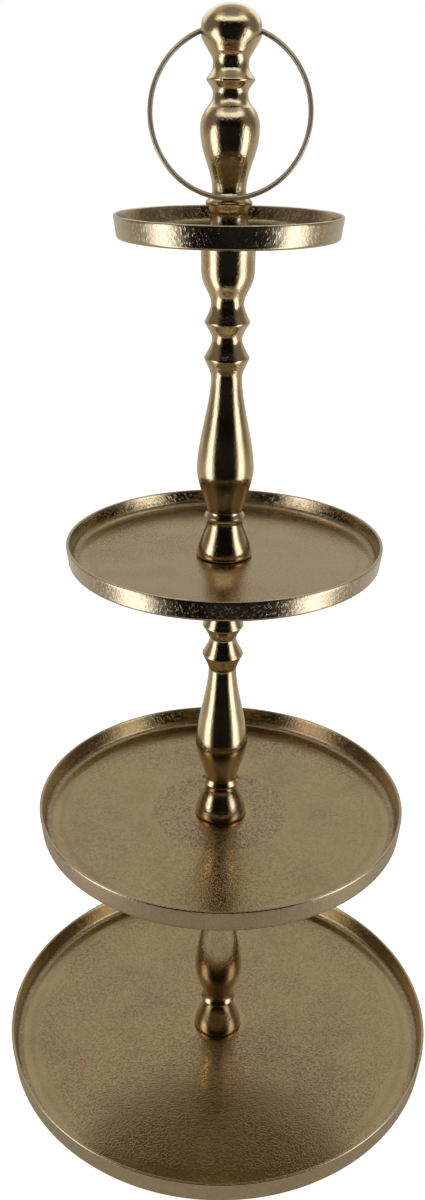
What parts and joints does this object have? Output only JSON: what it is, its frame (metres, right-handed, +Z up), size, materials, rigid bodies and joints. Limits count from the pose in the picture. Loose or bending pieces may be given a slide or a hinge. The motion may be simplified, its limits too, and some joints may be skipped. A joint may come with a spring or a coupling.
{
  "type": "tiered cake stand",
  "caption": "Tall serving stand with round rimmed trays, smaller towards the top, on turned metal columns, with a finial and a swinging carrying ring.",
  "frame": {"origin": "on the stand's axis, at the surface the rubber feet stand on", "axes": "+Z up along the columns, -Y is the front, where the ring leans against the finial, +X to the right seen from the front"},
  "size_m": [0.3998, 0.3998, 0.902],
  "materials": {
    "cast_tray_metal": "cast aluminium with a satin antique brass coating, fine casting grain",
    "polished_casting": "turned casting polished to a mirror, antique brass coating",
    "ring_brass": "polished wire, butt-welded",
    "fastener_steel": "zinc plated",
    "foot_rubber": "moulded, matt"
  },
  "bodies": {
    "stand": {"base_tray": "cast_tray_metal", "lower_tray": "cast_tray_metal", "middle_tray": "cast_tray_metal", "top_tray": "cast_tray_metal", "lower_column": "polished_casting", "middle_column": "polished_casting", "upper_column": "polished_casting", "finial": "polished_casting", "lower_stud": "fastener_steel", "middle_stud": "fastener_steel", "upper_stud": "fastener_steel", "base_screw": "fastener_steel", "base_washer": "fastener_steel", "rubber_foot_1": "foot_rubber", "rubber_foot_2": "foot_rubber", "rubber_foot_3": "foot_rubber", "rubber_foot_4": "foot_rubber"},
    "ring": {"ring_handle": "ring_brass"}
  },
  "joints": [
    {"name": "ring_swing", "type": "hinge", "parent": "stand", "child": "ring", "pos_m": [0, 0, 0.8865], "axis": [-1, 0, 0], "range_deg": [0, 342.2]}
  ]
}
